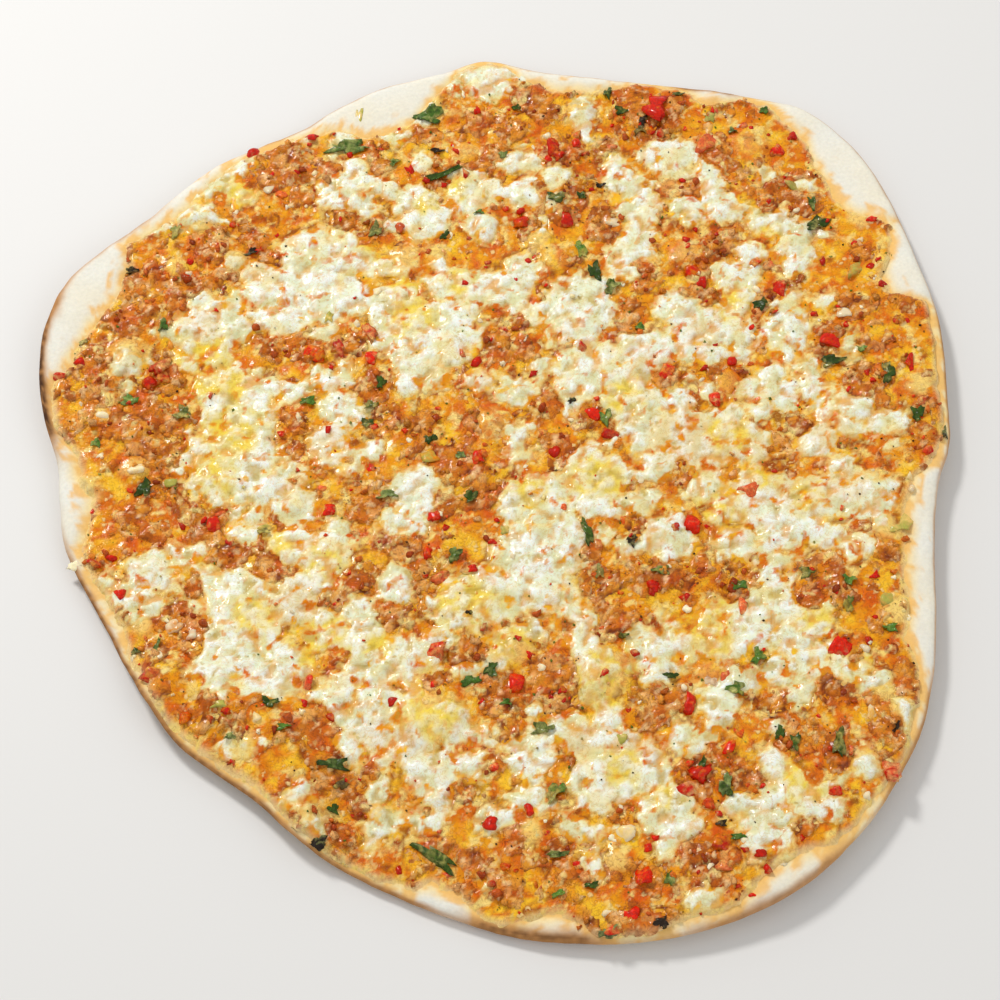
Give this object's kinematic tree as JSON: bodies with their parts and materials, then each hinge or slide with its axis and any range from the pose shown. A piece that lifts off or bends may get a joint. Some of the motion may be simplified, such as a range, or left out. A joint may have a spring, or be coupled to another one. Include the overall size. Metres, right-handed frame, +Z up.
{
  "type": "lahmacun",
  "caption": "Baked flatbread spread with seasoned minced meat and pepper sauce, topped with melted cheese, diced peppers, onion and torn parsley.",
  "frame": {"origin": "on the table, under the middle of the bread's bounding box", "axes": "+Z up, +Y along the bread's longer way across"},
  "size_m": [0.2774, 0.2996, 0.013],
  "materials": {
    "baked_dough": "matte, floured and toasted in places",
    "meat_and_sauce": "oily, granular",
    "melted_cheese": "soft, a little oily",
    "red_pepper": "wet, glossy",
    "green_pepper": "wet, glossy",
    "onion": "translucent, glossy",
    "parsley": "wilted leaf, semi-matte"
  },
  "bodies": {
    "root": {"flatbread": "baked_dough", "meat_spread": "meat_and_sauce", "melted_cheese_01": "melted_cheese", "melted_cheese_02": "melted_cheese", "melted_cheese_03": "melted_cheese", "melted_cheese_04": "melted_cheese", "melted_cheese_05": "melted_cheese", "melted_cheese_06": "melted_cheese", "melted_cheese_07": "melted_cheese", "melted_cheese_08": "melted_cheese", "melted_cheese_09": "melted_cheese", "melted_cheese_10": "melted_cheese", "melted_cheese_11": "melted_cheese", "melted_cheese_12": "melted_cheese", "melted_cheese_13": "melted_cheese", "melted_cheese_14": "melted_cheese", "melted_cheese_15": "melted_cheese", "melted_cheese_16": "melted_cheese", "melted_cheese_17": "melted_cheese", "melted_cheese_18": "melted_cheese", "melted_cheese_19": "melted_cheese", "melted_cheese_20": "melted_cheese", "melted_cheese_21": "melted_cheese", "melted_cheese_22": "melted_cheese", "melted_cheese_23": "melted_cheese", "melted_cheese_24": "melted_cheese", "melted_cheese_25": "melted_cheese", "melted_cheese_26": "melted_cheese", "red_pepper_01": "red_pepper", "red_pepper_02": "red_pepper", "red_pepper_03": "red_pepper", "red_pepper_04": "red_pepper", "red_pepper_05": "red_pepper", "red_pepper_06": "red_pepper", "red_pepper_07": "red_pepper", "red_pepper_08": "red_pepper", "red_pepper_09": "red_pepper", "red_pepper_10": "red_pepper", "red_pepper_11": "red_pepper", "red_pepper_12": "red_pepper", "green_pepper_01": "green_pepper", "green_pepper_02": "green_pepper", "onion_01": "onion", "onion_02": "onion", "parsley_01": "parsley", "parsley_02": "parsley", "parsley_03": "parsley", "parsley_04": "parsley", "parsley_05": "parsley", "parsley_06": "parsley", "parsley_07": "parsley", "parsley_08": "parsley", "parsley_09": "parsley", "parsley_10": "parsley"}
  },
  "joints": []
}
